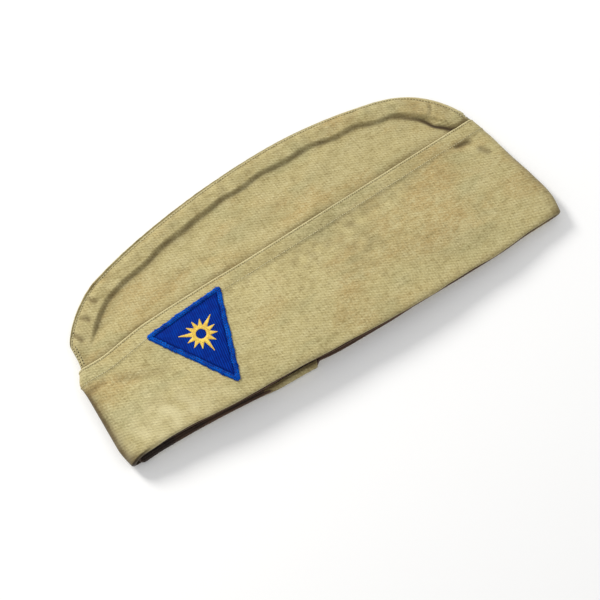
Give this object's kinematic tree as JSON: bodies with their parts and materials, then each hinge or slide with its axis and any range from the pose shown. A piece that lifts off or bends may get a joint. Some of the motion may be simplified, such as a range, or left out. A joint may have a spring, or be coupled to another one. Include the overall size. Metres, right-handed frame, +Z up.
{
  "type": "garrison cap",
  "caption": "Khaki cotton garrison cap folded flat on its side, with a turned-up curtain, a leather sweatband and a blue three-cornered cloth badge.",
  "frame": {"origin": "middle of the cap's length and height, on the surface that it lies on", "axes": "+X along the cap from its front to its back, +Y from the mouth to the top of the crown, +Z up, away from the surface"},
  "size_m": [0.3008, 0.1352, 0.0177],
  "materials": {
    "crown_cloth": "washed cotton twill, matte",
    "curtain_cloth": "washed cotton twill, matte",
    "sweatband_leather": "ribbed and worn, semi-matte",
    "badge_ground": "twill",
    "badge_border_thread": "overlocked thread, slight sheen",
    "badge_emblem_thread": "satin stitch, slight sheen"
  },
  "bodies": {
    "root": {"crown_left": "crown_cloth", "crown_right": "crown_cloth", "crown_gusset": "crown_cloth", "curtain_left": "curtain_cloth", "curtain_right": "curtain_cloth", "sweatband_left": "sweatband_leather", "sweatband_right": "sweatband_leather", "badge_cloth": "badge_ground", "badge_border": "badge_border_thread", "badge_emblem": "badge_emblem_thread"}
  },
  "joints": []
}
